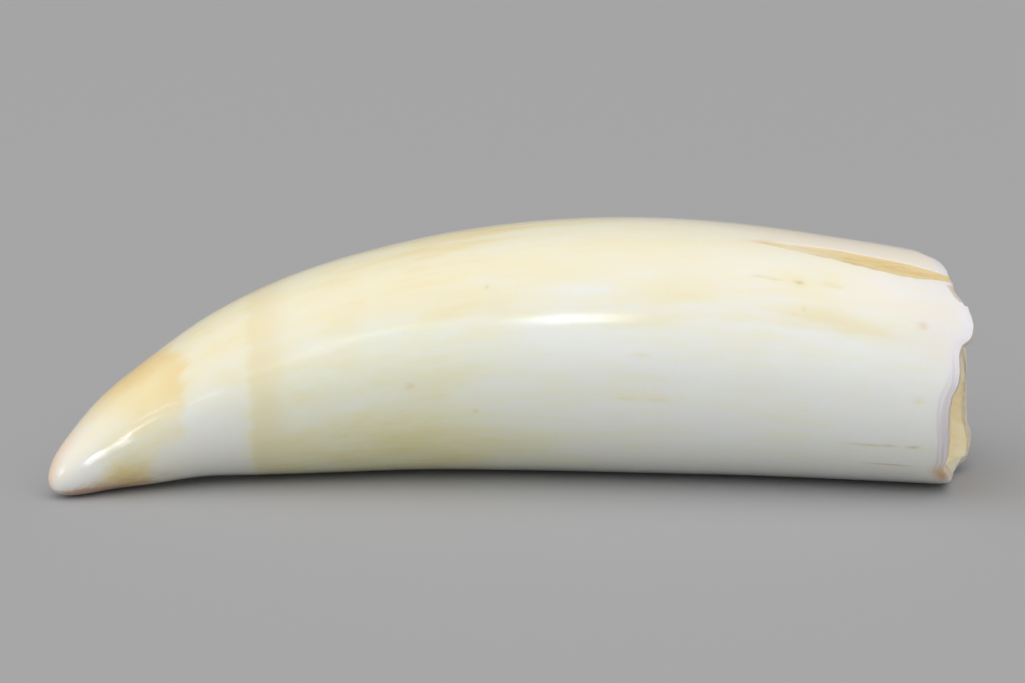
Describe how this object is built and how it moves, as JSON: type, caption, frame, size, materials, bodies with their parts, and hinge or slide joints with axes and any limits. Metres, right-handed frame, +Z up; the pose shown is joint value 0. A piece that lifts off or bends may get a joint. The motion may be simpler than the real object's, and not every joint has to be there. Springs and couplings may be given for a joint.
{
  "type": "polished sperm whale tooth",
  "caption": "Polished sperm whale tooth, curved and tapering to a blunt tip, its broken root open on a conical pulp cavity.",
  "frame": {"origin": "on the ground under the middle of the tooth as it lies on its side", "axes": "+X from the tip towards the open root, +Y towards the outside of the bend, +Z up"},
  "size_m": [0.1664, 0.053, 0.0463],
  "materials": {
    "ivory": "polished ivory, cream to amber, glossy"
  },
  "bodies": {
    "root": {"tooth": "ivory"}
  },
  "joints": []
}
